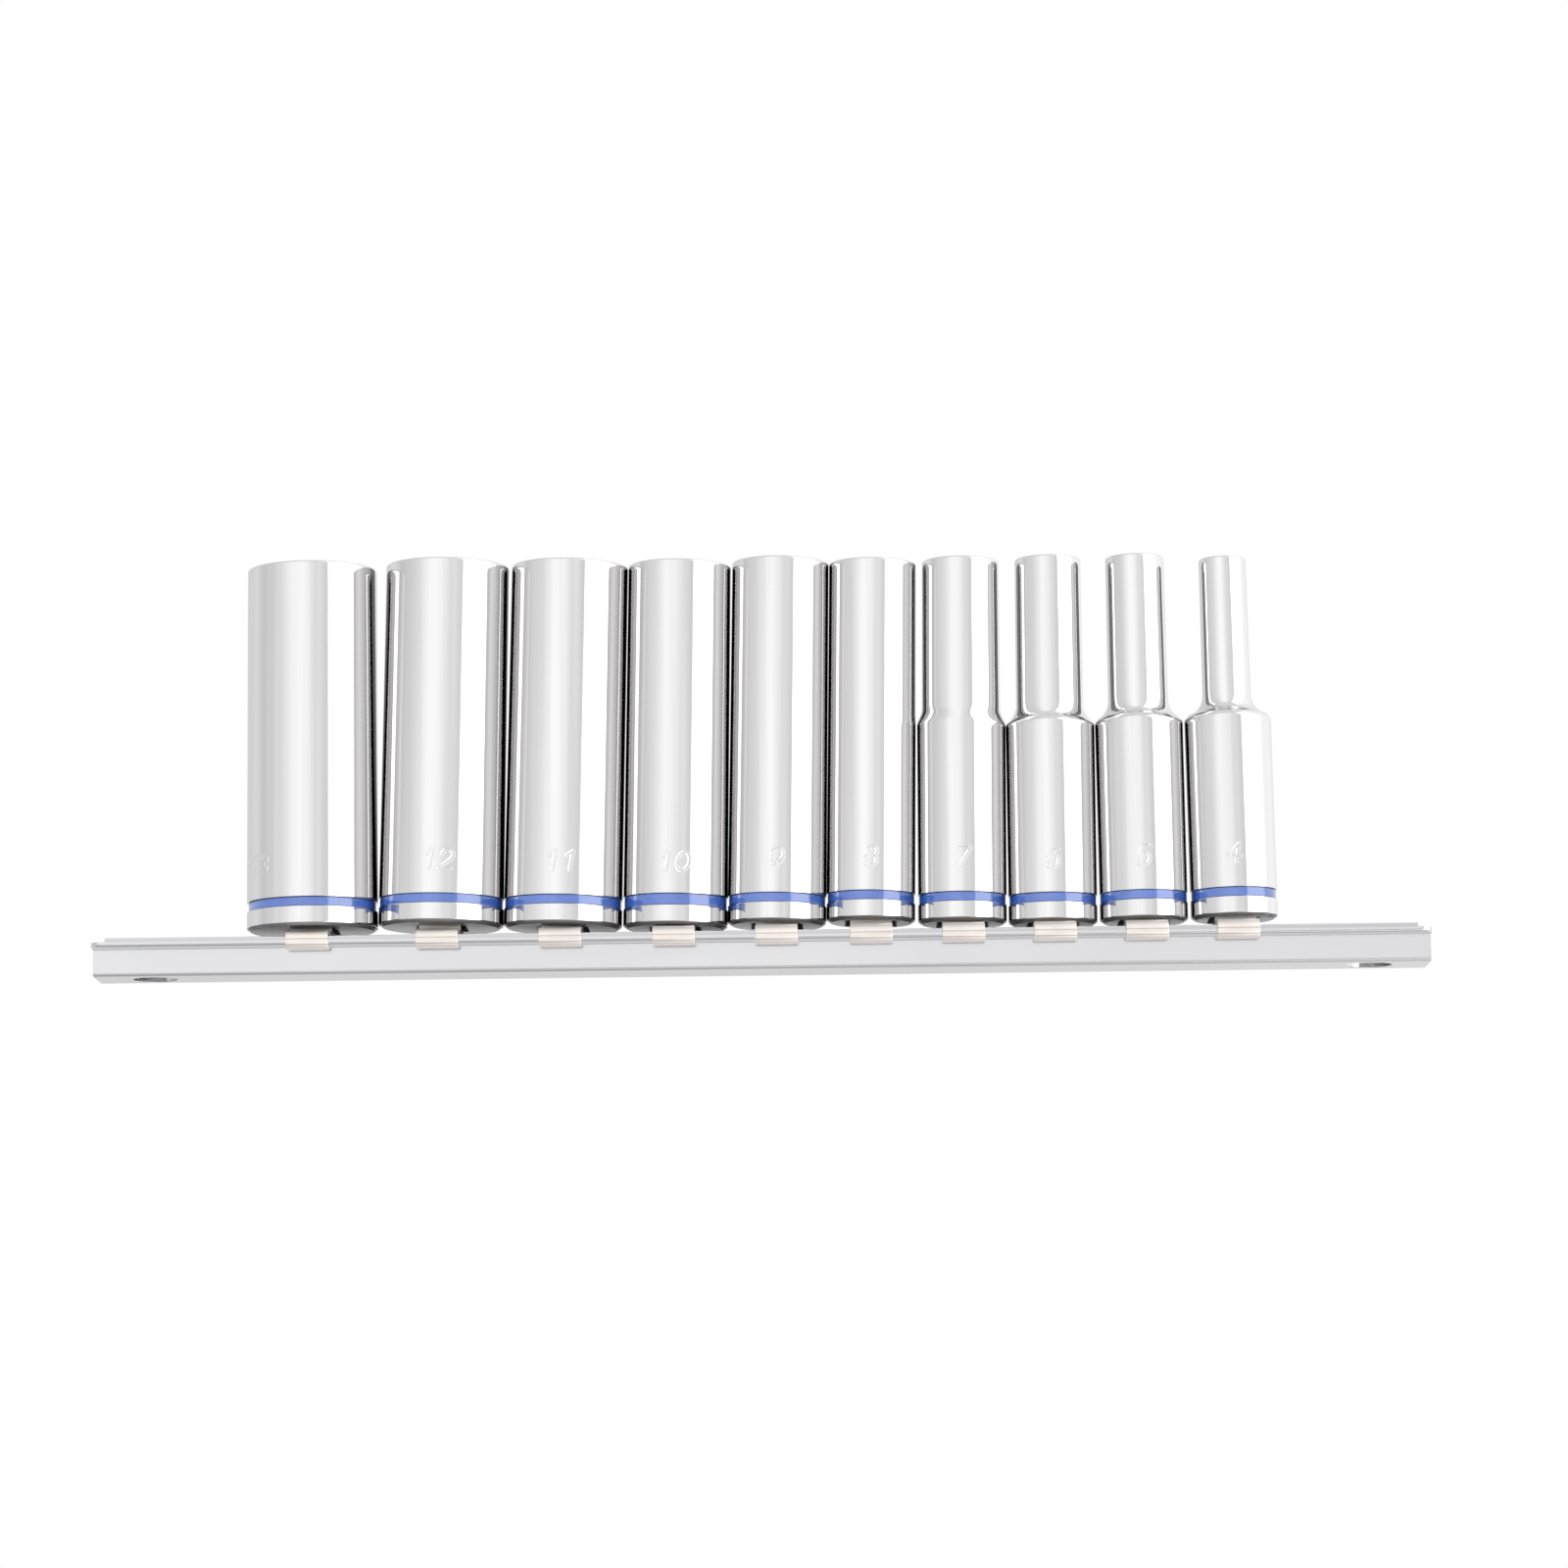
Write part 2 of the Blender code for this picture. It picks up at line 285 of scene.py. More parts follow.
print("Wire and Sheet are ready")

# %% [markdown]
# ## The studio
#
# Bright plating has no colour of its own: it shows the studio. In the photograph each
# socket carries the same bands of light: a grey sweep from the left that brightens towards the
# middle, a darker strip just right of it, and a wide softbox with a hard edge on the right. The
# world below repeats that as a function of direction for what is seen in the metal. Right
# overhead it is one even grey, which draws the thin line round each rim, and it is darker
# straight below. Light that comes from behind and has bounced between two sockets is dim, as
# if something dark stood close behind the row, and that makes the gaps dark. The background is
# plain white, and other surfaces get even light.

# %% What the metal sees: brightness by compass direction, 0 towards the camera
AROUND = ((-180, 0.82), (-147, 0.80), (-123, 0.95), (-106, 0.96), (-92, 0.77), (-80, 0.86), (-68, 0.92),
          (-57, 0.98), (-47, 1.08), (-37, 1.21), (-28, 1.33), (-18, 1.35), (-9, 1.30), (0, 1.20),
          (9, 1.05), (18, 1.05), (28, 0.92), (33, 0.89), (34.5, 3.00), (84, 3.00), (94, 1.32),
          (123, 1.26), (147, 1.10), (180, 0.82))

# Levels overhead and on all but metal, and the level that a full stop of the ramp stands for
OVERHEAD = 0.95
EVEN = 0.85
RAMP_FULL = 4

# Shares of the light that are missing straight below, and from behind between two sockets
BELOW_LOSS = 0.35
BETWEEN_LOSS = 0.65

# Where each of these fades in and is complete, as the direction's part along Z, -Z or Y
OVERHEAD_SPAN = (0.90, 0.98)
BELOW_SPAN = (0.65, 0.85)
BEHIND_SPAN = (0.0, 0.6)

# Light with more bounces in metal than this has been between two sockets
ONE_BOUNCE = 1.5


def studio_light(world):
    """Background strength: 1 for the camera, the bands for reflections, an even level for the rest."""
    sheet = Sheet(world.node_tree)
    for_camera = sheet.node("LightPath", out="Is Camera Ray")
    for_gloss = sheet.node("LightPath", out="Is Glossy Ray")
    for_clear = sheet.node("LightPath", out="Is Transmission Ray")
    way = sheet.node("TexCoord", out="Generated")
    x, y, z = (sheet.node("SeparateXYZ", None, {0: way}, axis) for axis in "XYZ")
    compass = sheet.maths("ARCTAN2", x, 0 - y) / (2 * math.pi) + 0.5
    stops = [((angle + 180) / 360, level / RAMP_FULL) for angle, level in AROUND]
    bands = sheet.node("ValToRGB", {"stops": stops}, {0: compass}) * RAMP_FULL
    overhead = z.smooth(*OVERHEAD_SPAN)
    below = (0 - z).smooth(*BELOW_SPAN) * BELOW_LOSS
    bounced = sheet.maths("GREATER_THAN", sheet.node("LightPath", out="Glossy Depth"), ONE_BOUNCE)
    between = y.smooth(*BEHIND_SPAN) * bounced * BETWEEN_LOSS
    seen = (bands * (1 - overhead - below) + overhead * OVERHEAD) * (1 - between)
    open_view = sheet.maths("MAXIMUM", for_camera, for_clear)
    level = open_view + for_gloss * seen + (1 - open_view - for_gloss) * EVEN
    glow = sheet.node("Background", None, {"Color": (1, 1, 1, 1), "Strength": level})
    sheet.node("OutputWorld", None, {"Surface": glow})


world = bpy.data.worlds.new("studio")
world.use_nodes = True
studio_light(world)
bpy.context.scene.world = world
view_settings = bpy.context.scene.view_settings
view_settings.view_transform = "Standard"
print("the metal sees", len(AROUND), "levels round the compass")

# %% [markdown]
# One wide lamp above and in front gives the floor its soft shadow. The floor is a pale
# sheet just under the rail. The camera stands lower than the rail, so the floor is clear
# for a camera that looks at it from below, and solid from above. It stays out of the metal.

# %% The floor and the lamp
FLOOR_HALF = 3000
FLOOR_DROP = 0.2
FLOOR_COLOUR = (0.86, 0.86, 0.86, 1)
LAMP_LONG = 0.9
LAMP_DEEP = 0.6
LAMP_WATTS = 6
LAMP_AT = (-0.35, -0.45, 0.95)


def floor_finish():
    """Matt and pale, but clear where the camera sees it from below."""
    material = bpy.data.materials.new("pale_floor")
    material.use_nodes = True
    sheet = Sheet(material.node_tree)
    pale = sheet.node("BsdfDiffuse", None, {"Color": FLOOR_COLOUR})
    clear = sheet.node("BsdfTransparent")
    below = sheet.node("NewGeometry", out="Backfacing") * sheet.node("LightPath", out="Is Camera Ray")
    mixed = sheet.node("MixShader", None, {0: below, 1: pale, 2: clear})
    sheet.node("OutputMaterial", None, {"Surface": mixed})
    return material


corners = np.column_stack([SQUARE * FLOOR_HALF, np.full(4, -FLOOR_DROP)])
floor = add_piece("floor", corners, np.array([[0, 1, 2, 3]]))
floor.data.materials.append(floor_finish())
floor.visible_glossy = False

lamp = bpy.data.lights.new("wide_lamp", "AREA")
lamp.shape = "RECTANGLE"
lamp.size = LAMP_LONG
lamp.size_y = LAMP_DEEP
lamp.energy = LAMP_WATTS
lamp_object = bpy.data.objects.new("wide_lamp", lamp)
bpy.context.scene.collection.objects.link(lamp_object)
lamp_object.location = LAMP_AT
lamp_object.rotation_euler = (-lamp_object.location).to_track_quat("-Z", "Y").to_euler()
lamp_object.visible_glossy = False
print("the floor lies", FLOOR_DROP, "mm under the rail's back")

# %% [markdown]
# ## Tools for the finishes
#
# A finish blends two or three colours by noise, by height or by a value that the mesh
# carries, and adds a slight bump. Its fixed values sit on the shader's own sockets.

# %% Helpers: a shader with its sheet, and the nodes that all finishes use
def principled(name, settings):
    """A finish whose fixed values are set on the shader's own sockets, its sheet and its shader."""
    material = bpy.data.materials.new(name)
    material.use_nodes = True
    sheet = Sheet(material.node_tree)
    shader = sheet.tree.nodes.new("ShaderNodeBsdfPrincipled")
    for socket, value in settings.items():
        shader.inputs[socket].default_value = value
    output = sheet.tree.nodes.new("ShaderNodeOutputMaterial")
    sheet.tree.links.new(shader.outputs[0], output.inputs[0])
    return material, sheet, shader


def connect(sheet, shader, **wires):
    """Each wire goes to the shader's socket of that name, with a space for each underscore."""
    for socket, wire in wires.items():
        sheet.tree.links.new(wire.socket, shader.inputs[socket.replace("_", " ")])


def noise(sheet, scale, stretch=(1, 1, 1), detail=3):
    """Noise on Object coordinates (metres), stretched per axis."""
    place = sheet.node("Mapping", None, {0: sheet.node("TexCoord", out="Object"), "Scale": stretch})
    return sheet.node("TexNoise", None, {"Vector": place, "Scale": scale, "Detail": detail})


def blend(sheet, share, first, second):
    """The first colour where the share is 0, the second where it is 1."""
    return sheet.node("Mix", {"data_type": "RGBA"}, {"Factor": share, 6: first, 7: second}, out=2)


def bumped(sheet, strength, distance, height):
    """The surface's direction, tipped as a relief of this height would tip it."""
    return sheet.node("Bump", None, {"Strength": strength, "Distance": distance, "Height": height})


def height_above_back(sheet):
    """Object Z in metres, which starts at the rail's back."""
    return sheet.node("SeparateXYZ", None, {0: sheet.node("TexCoord", out="Object")}, "Z")


def mesh_value(sheet, name):
    """The number that the mesh carries under this name."""
    return sheet.node("Attribute", {"attribute_name": name}, out="Fac")


print("helpers for the finishes are ready")

# %% [markdown]
# ## Finish 1: polished plating
#
# The sockets are polished before they are plated. Close up, the plating is a little uneven:
# faint cloudy smudges from handling change its roughness, faint streaks from the grinding run
# up its side, and a very slight ripple keeps the reflections from being perfectly straight. All
# three are noise on the piece's own place. Under the base and inside the bores the plating is
# rougher and less metallic, and its colour is painted dark there as painted shade, by a value the mesh
# carries.

# %% Polished plating
PLATING = (0.715, 0.71, 0.71, 1)
PLATING_STREAK = (0.672, 0.665, 0.667, 1)
# Painted shade: the dark colour under the base and inside the bores
PLATING_SHADE = (0.30, 0.30, 0.305, 1)

polished, sheet, shader = principled("polished_plating", {})
smudge = noise(sheet, scale=90).smooth(0.45, 0.75)
# The mesh's value that makes the plating duller and paints shade under the base and in the bores
grime = mesh_value(sheet, "grime")
streaks = noise(sheet, scale=900, stretch=(1, 1, 0.008), detail=2).smooth(0.35, 0.7)
bright = blend(sheet, streaks, PLATING, PLATING_STREAK)
# Painted shade: the plating's colour turns dark where the mesh's value is high
tone = blend(sheet, grime, bright, PLATING_SHADE)
bump = bumped(sheet, 0.12, 0.0002, noise(sheet, scale=140, detail=1))
connect(sheet, shader, Base_Color=tone, Metallic=1 - grime * 0.6,
        Roughness=0.045 + smudge * 0.035 + grime * 0.18, Normal=bump)
print("polished plating:", len(sheet.tree.nodes), "nodes")

# %% [markdown]
# ## Finish 2: plated sheet
#
# The rail's sheet was rolled, bent and then plated without polishing, so it keeps a fine grain
# along its length, and its reflections are softer. The grain is noise pulled out along X. A band
# across the nose of each hem, chosen by height, is painted a little darker as painted shade.

# %% Plated sheet
SHEET_DARK = (0.63, 0.63, 0.645, 1)
SHEET_LIGHT = (0.67, 0.67, 0.68, 1)
# Painted shade on a band across each hem's nose, and the heights where it fades in and out
SHEET_NOSE_SHADE = (0.54, 0.54, 0.555, 1)
NOSE_SHADE_STARTS = (0.0041, 0.0043)
NOSE_SHADE_ENDS = (0.0046, 0.0047)

sheet_plating, sheet, shader = principled("plated_sheet", {"Metallic": 1})
grain = noise(sheet, scale=900, stretch=(0.02, 1, 1), detail=4)
cloud = noise(sheet, scale=40, stretch=(0.5, 1, 1))
shade = blend(sheet, cloud.smooth(0.35, 0.7), SHEET_DARK, SHEET_LIGHT)
height = height_above_back(sheet)
# Painted shade: darker colour between two heights, across the hems' nose
nose_shade = height.smooth(*NOSE_SHADE_STARTS) * (1 - height.smooth(*NOSE_SHADE_ENDS))
nose_shaded = blend(sheet, nose_shade, shade, SHEET_NOSE_SHADE)
bump = bumped(sheet, 0.10, 0.00006, grain + cloud * 2)
connect(sheet, shader, Base_Color=nose_shaded, Roughness=0.15 + grain * 0.10, Normal=bump)
print("plated sheet:", len(sheet.tree.nodes), "nodes")

# %% [markdown]
# ## Finish 3: spring strip
#
# The clips are pale warm strip. Painted light makes the leg brightest low down, painted shade
# darkens it from the rail's top upwards, and two thin lines of painted shade run across the leg
# where the press folded it. The mesh carries those lines as an attribute called crease,
# worked out with the surface itself.

# %% Spring strip
STRIP_DARK = (0.74, 0.69, 0.66, 1)
STRIP_LIGHT = (0.79, 0.74, 0.705, 1)
# Painted light low on the leg and painted shade from the rail's top up, with the heights where each fades
STRIP_LEG_LIT = (0.96, 0.90, 0.86, 1)
STRIP_TOP_SHADE = (0.60, 0.56, 0.53, 1)
# Painted shade along the fold lines
STRIP_CREASE_SHADE = (0.36, 0.26, 0.20, 1)
LIT_LEG_TO_STRIP = (0.0034, 0.0041)
STRIP_TO_TOP_SHADE = (0.0045, 0.0052)

strip_finish, sheet, shader = principled("spring_strip", {"Metallic": 0.8})
crease = mesh_value(sheet, "crease")
tone = noise(sheet, scale=300, stretch=(1, 0.2, 0.2))
warm = blend(sheet, tone.smooth(0.3, 0.7), STRIP_DARK, STRIP_LIGHT)
height = height_above_back(sheet)
# Painted light low on the leg, then painted shade from the rail's top upwards
lit_leg = blend(sheet, height.smooth(*LIT_LEG_TO_STRIP), STRIP_LEG_LIT, warm)
top_shaded = blend(sheet, height.smooth(*STRIP_TO_TOP_SHADE), lit_leg, STRIP_TOP_SHADE)
# Painted shade along the two fold lines, with a slight real dent in the bump
line = blend(sheet, crease * 0.75, top_shaded, STRIP_CREASE_SHADE)
bump = bumped(sheet, 0.25, 0.0001, tone * 0.3 - crease)
connect(sheet, shader, Base_Color=line, Roughness=0.34 + tone * 0.12, Normal=bump)
print("spring strip:", len(sheet.tree.nodes), "nodes")

# %% [markdown]
# ## Finish 4: the blue band
#
# The rings are one strong blue under a clear gloss coat. A slight change of tone keeps the
# blue from looking printed.

# %% Blue band
BLUE_DARK = (0.035, 0.12, 0.50, 1)
BLUE_LIGHT = (0.06, 0.16, 0.58, 1)
CLEAR_COAT = {"Metallic": 0, "Coat Roughness": 0.08, "Coat Weight": 1, "Coat IOR": 1.9}

blue, sheet, shader = principled("blue_band", CLEAR_COAT)
tone = noise(sheet, scale=400)
paint = blend(sheet, tone.smooth(0.3, 0.7), BLUE_DARK, BLUE_LIGHT)
bump = bumped(sheet, 0.08, 0.00005, tone)
connect(sheet, shader, Base_Color=paint, Roughness=0.32 + tone * 0.1, Normal=bump)
print("blue band:", len(sheet.tree.nodes), "nodes")

# %% [markdown]
# ## The rail
#
# The rail is one strip of sheet: a flat back, two upright webs, two flanges, and a hem
# folded back on top of each flange. A path along half of the section is enough, because the
# other half is its mirror. The section is then carried along X, and near each end the flanges
# draw in on a quarter circle. All sizes from here on are in millimetres.

# %% The rail's section
SHEET = 0.6
BACK_HALF = 4.75
RAIL_HALF = 8.1
RAIL_TOP = 4.8
BEND = 0.15
INNER_BEND = 0.1
HEM_ROUND = 0.2
HEM_TIP = 0.3
HEM_TIP_ROUND = 0.08

# A straight side has one more point this far from its bend, which keeps its shading flat
FLAT = 0.3


def arc(centre, radius, start, end, steps):
    """Points centre + radius (cos a, sin a) with a from start to end, in degrees."""
    a = np.radians(np.linspace(start, end, steps + 1))
    return np.stack([centre[0] + radius * np.cos(a), centre[1] + radius * np.sin(a)], axis=1)


def rail_section(edge_loss):
    """Closed outline (y, z) of the bent strip, counter-clockwise, with its hem drawn in by edge_loss."""
    outer = BEND + SHEET
    inside = BACK_HALF - SHEET
    flange_top = RAIL_TOP - SHEET
    edge = RAIL_HALF - edge_loss
    tip = BACK_HALF + HEM_TIP
    half = [
        np.array([(0, 0), (BACK_HALF - outer - FLAT, 0)]),
        arc((BACK_HALF - outer, outer), outer, -90, 0, 10),
        np.array([(BACK_HALF, outer + FLAT)]),
        arc((BACK_HALF + INNER_BEND, flange_top - SHEET - INNER_BEND), INNER_BEND, 180, 90, 5),
        arc((edge - SHEET, flange_top), SHEET, -90, 0, 12),
        arc((edge - HEM_ROUND, RAIL_TOP - HEM_ROUND), HEM_ROUND, 0, 90, 8),
        arc((tip + HEM_TIP_ROUND, RAIL_TOP - HEM_TIP_ROUND), HEM_TIP_ROUND, 90, 180, 4),
        np.array([(tip, flange_top)]),
        arc((inside + outer, flange_top - outer), outer, 90, 180, 8),
        arc((inside - BEND, SHEET + BEND), BEND, 0, -90, 8),
        np.array([(inside - BEND - FLAT, SHEET), (0, SHEET)]),
    ]
    half = np.concatenate(half)
    return np.concatenate([half, (half * (-1, 1))[::-1][1:-1]])


print("the rail's section has", len(rail_section(0)), "points")

# %% Carry the section along the rail
HALF_LENGTH = np.ptp(cad_points("rail")[:, 0]) / 2
CORNER = 1.47
CORNER_FLAT = 0.4
HEM_SHORTFALL = 2.0


def rail_stations():
    """Place x and edge loss c (1 - sin t) at c (1 - cos t) from each end, for t up to a quarter turn."""
    t = np.linspace(0, math.pi / 2, 13)
    straight = HALF_LENGTH - CORNER - CORNER_FLAT
    x = np.concatenate([HALF_LENGTH - CORNER * (1 - np.cos(t)), [straight]])
    loss = np.concatenate([CORNER * (1 - np.sin(t)), [0]])
    return np.concatenate([-x, x[::-1]]), np.concatenate([loss, loss[::-1]])


station_x, station_loss = rail_stations()
sections = np.stack([rail_section(loss) for loss in station_loss])
along = np.broadcast_to(station_x[:, None, None], (*sections.shape[:2], 1))
rail = add_tube("sheet_rail", np.concatenate([along, sections], axis=2))
print("the rail has", len(rail.data.polygons), "faces before the cuts")

# %% [markdown]
# The two screw holes are cut with a Boolean. The cutter is wider above and below the sheet
# than inside it, which leaves the small chamfer that a punched and deburred hole has. Two
# boxes take the folded-over layer away at both ends, because the hems stop short of them.

# %% Cut the screw holes and the ends of the hems
HOLE_AT = 82.1
HOLE_RADIUS = 3.0
HOLE_CHAMFER = 0.03
HOLE_POINTS = 96
CUTTER_PAST_FACE = 0.6
CUTTER_WIDE_HALF = 12
CUTTER_HAIR = 0.06
CUTTER_ABOVE = 1


def hole_cutter(x):
    """Revolved cutter that widens by 45 degrees from HOLE_CHAMFER inside either face of the sheet."""
    wide = HOLE_RADIUS + HOLE_CHAMFER + CUTTER_PAST_FACE
    profile = np.array([(wide, -CUTTER_PAST_FACE), (HOLE_RADIUS, HOLE_CHAMFER),
                        (HOLE_RADIUS, SHEET - HOLE_CHAMFER), (wide, SHEET + CUTTER_PAST_FACE)])
    a = np.linspace(0, 2 * math.pi, HOLE_POINTS, endpoint=False)
    rings = np.stack([x + profile[:, :1] * np.cos(a), profile[:, :1] * np.sin(a),
                      np.broadcast_to(profile[:, 1:], (len(profile), HOLE_POINTS))], axis=2)
    return add_tube(f"cutter_{x:.0f}", rings)


def hem_cutter(x):
    """Box round the end at x, from a hair above the flange to above the hem."""
    square = SQUARE * (HEM_SHORTFALL, CUTTER_WIDE_HALF) + (x, 0)
    heights = (RAIL_TOP - SHEET + CUTTER_HAIR, RAIL_TOP + CUTTER_ABOVE)
    rings = np.stack([np.column_stack([square, np.full(4, z)]) for z in heights])
    return add_tube(f"cutter_{x:.0f}_top", rings)


def cut(piece, cutters):
    """Takes the cutters out of the piece, keeps the result as its mesh, and removes the cutters."""
    for cutter in cutters:
        tool = piece.modifiers.new("cut", "BOOLEAN")
        tool.solver = "EXACT"
        tool.object = cutter
    result = bpy.data.meshes.new_from_object(piece.evaluated_get(bpy.context.evaluated_depsgraph_get()))
    piece.modifiers.clear()
    piece.data = result
    result.shade_smooth()
    result.set_sharp_from_angle(angle=math.radians(SHARP))
    for cutter in cutters:
        bpy.data.objects.remove(cutter)


cut(rail, [hole_cutter(-HOLE_AT), hole_cutter(HOLE_AT), hem_cutter(-HALF_LENGTH), hem_cutter(HALF_LENGTH)])
stand_for(rail, "rail", "rail", sheet_plating)
print("the rail has", len(rail.data.polygons), "faces after the cuts")

# %% [markdown]
# ## The spring clips
#
# A clip is one flat strip. Its middle rises as a narrow arch, the stud, whose sides swell
# a little to grip the socket. Its two ends run out under the socket, round the rail's hems and
# back underneath, where the hooks lie closer to the flange than a half circle would bring
# them. The surface is a rounded rectangle, the strip's section, carried along that path:
# place = path + across * thickness + X * width.

# %% The clip's path
CLIP_WIDTH = 5.7
STRIP = 0.5
CLIP_PLAY = 0.3
STUD_ROUND = 2.15
STUD_RISE = 8.0
STUD_SWELL = 0.5
FOOT_ROUND = 0.6
FOOT_FLAT_AT = 4.0
HOOK_SHARE = 0.8
HOOK_LENGTH = 1.2


def clip_path():
    """(y, z) down one side, from the stud's crown to the hook's tip, and the mirrored other side first."""
    foot = RAIL_TOP + CLIP_PLAY + STRIP / 2
    grip = SHEET + CLIP_PLAY + STRIP / 2
    crown = (0, RAIL_TOP + CLIP_PLAY + STRIP + STUD_RISE - STRIP / 2 - STUD_ROUND)
    share = np.linspace(0, 1, 25)[1:-1]
    swell = np.sin(math.pi * share) ** 2
    fall = foot + FOOT_ROUND - crown[1]
    side = np.stack([STUD_ROUND + STUD_SWELL * swell, crown[1] + fall * share], axis=1)
    edge = (RAIL_HALF - SHEET, RAIL_TOP - SHEET)
    wrap = arc(edge, grip, 90, -90, 84)
    under = wrap[:, 1] < edge[1]
    wrap[under, 1] = edge[1] + (wrap[under, 1] - edge[1]) * HOOK_SHARE
    hook = edge[1] - grip * HOOK_SHARE
    half = np.concatenate([
        arc(crown, STUD_ROUND, 90, 0, 12)[1:],
        side,
        arc((STUD_ROUND + FOOT_ROUND, foot + FOOT_ROUND), FOOT_ROUND, 180, 270, 8),
        [(FOOT_FLAT_AT, foot), (edge[0] - FLAT, foot)],
        wrap,
        [(edge[0] - HOOK_LENGTH / 2, hook), (edge[0] - HOOK_LENGTH, hook)],
    ])
    return np.concatenate([(half * (-1, 1))[::-1], [(0, crown[1] + STUD_ROUND)], half])


path = clip_path()
print("the clip's path is", round(np.linalg.norm(np.diff(path, axis=0), axis=1).sum(), 1), "mm long")

# %% Carry the strip's section along it
STRIP_ROUND = 0.13

# The legs lie further out than this, and their lines of painted shade lie at these heights, on the folds
LEG_FROM = 8.3
CREASE_SHADES_AT = (4.30, 3.51)
CREASE_SHADE_WIDTH = 0.06


def strip_section():
    """Rounded rectangle (across, along X), counter-clockwise."""
    a, b = STRIP / 2, CLIP_WIDTH / 2
    return rounded([(a, 0), (a, b), (-a, b), (-a, -b), (a, -b), (a, 0)], STRIP_ROUND, 3)[:-1]


def build_clip(label):
    """The section at every point of the path, with two lines of painted shade across either leg."""
    body = f"clip_{label}"
    low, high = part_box(body)
    tangent = np.gradient(path, axis=0)
    tangent /= np.linalg.norm(tangent, axis=1)[:, None]
    across = np.stack([-tangent[:, 1], tangent[:, 0]], axis=1)
    section = strip_section()
    yz = path[:, None] + across[:, None] * section[None, :, :1]
    x = np.broadcast_to((low.x + high.x) / 2 * PER_METRE + section[:, 1], yz.shape[:2])
    rings = np.concatenate([x[..., None], yz], axis=2)
    clip = add_tube(f"spring_{label}", rings)
    on_leg = np.abs(rings[..., 1]) > LEG_FROM
    # Painted shade: a thin dark line at each fold height, on the legs only
    crease = sum(np.exp(-((rings[..., 2] - z) / CREASE_SHADE_WIDTH) ** 2) for z in CREASE_SHADES_AT) * on_leg
    add_values(clip, "crease", crease)
    return stand_for(clip, body, body, strip_finish)


clips = [build_clip(label) for label in sizes]
print("ten clips of", len(clips[0].data.polygons), "faces")

# %% [markdown]
# ## Where a socket stands
#
# The sockets lean a little on their studs, each in its own way. The CAD model knows the
# lean: it is the direction in which the socket lifts off. The place of the base, the two
# outside radii, the length and the groove are measured from the CAD piece, so that the new
# surface fits it.

# %% Measure a socket's stand
Stand = namedtuple("Stand", "base axis drive mouth length low high")

# Heights that hold the drive end, the groove and, from the top, the mouth
DRIVE_END = 25
GROOVE_WITHIN = (1, 6)
MOUTH_END = 0.5

# What counts as one radius, and the width of the CAD mouth's chamfer
SAME_RADIUS = 0.01
CAD_CHAMFER = 0.12


def stand_of(label):
    """Base point, axis, drive and mouth radii, length, and where the groove starts and ends."""
    axis = next(j["axis"] for j in frame["joints"] if j["name"] == f"socket_{label}_lift")
    axis = np.array(axis, float) / np.linalg.norm(axis)
    low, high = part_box(f"clip_{label}")
    x = (low.x + high.x) / 2 * PER_METRE
    points = cad_points(f"socket_{label}")
    base = np.array([x, 0, ((points @ axis).min() - x * axis[0]) / axis[2]])
    up = (points - base) @ axis
    away = np.linalg.norm(points - base - up[:, None] * axis, axis=1)
    length = up.max()
    drive = away[up < DRIVE_END].max()
    mouth = away[up > length - MOUTH_END].max() + CAD_CHAMFER
    within = (up > GROOVE_WITHIN[0]) & (up < GROOVE_WITHIN[1])
    groove = np.unique(up[(away > drive - SAME_RADIUS) & within].round(2))
    return Stand(base, axis, drive, mouth, length, groove[0], groove[-1])


def stood(local, base, axis):
    """Local (x, y, h) to the row's frame: base + x (cos l, 0, -sin l) + y (0, 1, 0) + h axis."""
    sideways = np.array([axis[2], 0, -axis[0]])
    return base + local[..., :1] * sideways + local[..., 1:2] * np.array([0, 1, 0]) + local[..., 2:] * axis


def add_spun(name, radii, heights, turns, stand):
    """Closed profile, with a height for each row and a radius for each point, round the stand's axis."""
    local = np.stack([radii * np.cos(turns), radii * np.sin(turns),
                      np.broadcast_to(heights[:, None], radii.shape)], axis=2)
    quads = grid_quads(*radii.shape, join_rows=True, join_columns=True)
    return add_piece(name, stood(local, stand.base, stand.axis).reshape(-1, 3), quads)


stands = {label: stand_of(label) for label in sizes}
for label, stand in stands.items():
    print(label, "mm socket: radii", round(stand.drive, 3), round(stand.mouth, 3),
          "length", round(stand.length, 2), "groove", round(stand.low, 2), round(stand.high, 2))

# %% [markdown]
# ## The socket's outside
#
# Turned parts are profiles spun round an axis. From the base up: a chamfer, the groove for
# the band, the straight side, a shoulder on the small sizes, and the rounded mouth.

# %% The shoulder of the small sizes
CONE_SIZE = 7
SHOULDER_AT = 27.4
CONE_TOP = 29.15
HOLLOW_FROM = 28.0
HOLLOW_ROUND = 3.0
SHOULDER_CHAMFER = 0.5


def shoulder(label, drive, mouth):
    """Corners of the shoulder, and the reach of the rounding at each.

    It is a cone on the 7 mm socket, and a chamfer and a hollow curve on the smaller ones.
    """
    if label > CONE_SIZE:
        return [], []
    if label == CONE_SIZE:
        return [(drive, SHOULDER_AT), (mouth, CONE_TOP)], [0.30, 0.5]
    start = math.acos(1 - (drive - SHOULDER_CHAMFER - mouth) / HOLLOW_ROUND)
    turn = np.linspace(start, 0, 14)
    top = HOLLOW_FROM + HOLLOW_ROUND * math.sin(start)
    curve = np.stack([mouth + HOLLOW_ROUND * (1 - np.cos(turn)), top - HOLLOW_ROUND * np.sin(turn)], axis=1)
    return [(drive, SHOULDER_AT), *curve], [0.2, 0.12] + [0.02] * (len(curve) - 1)


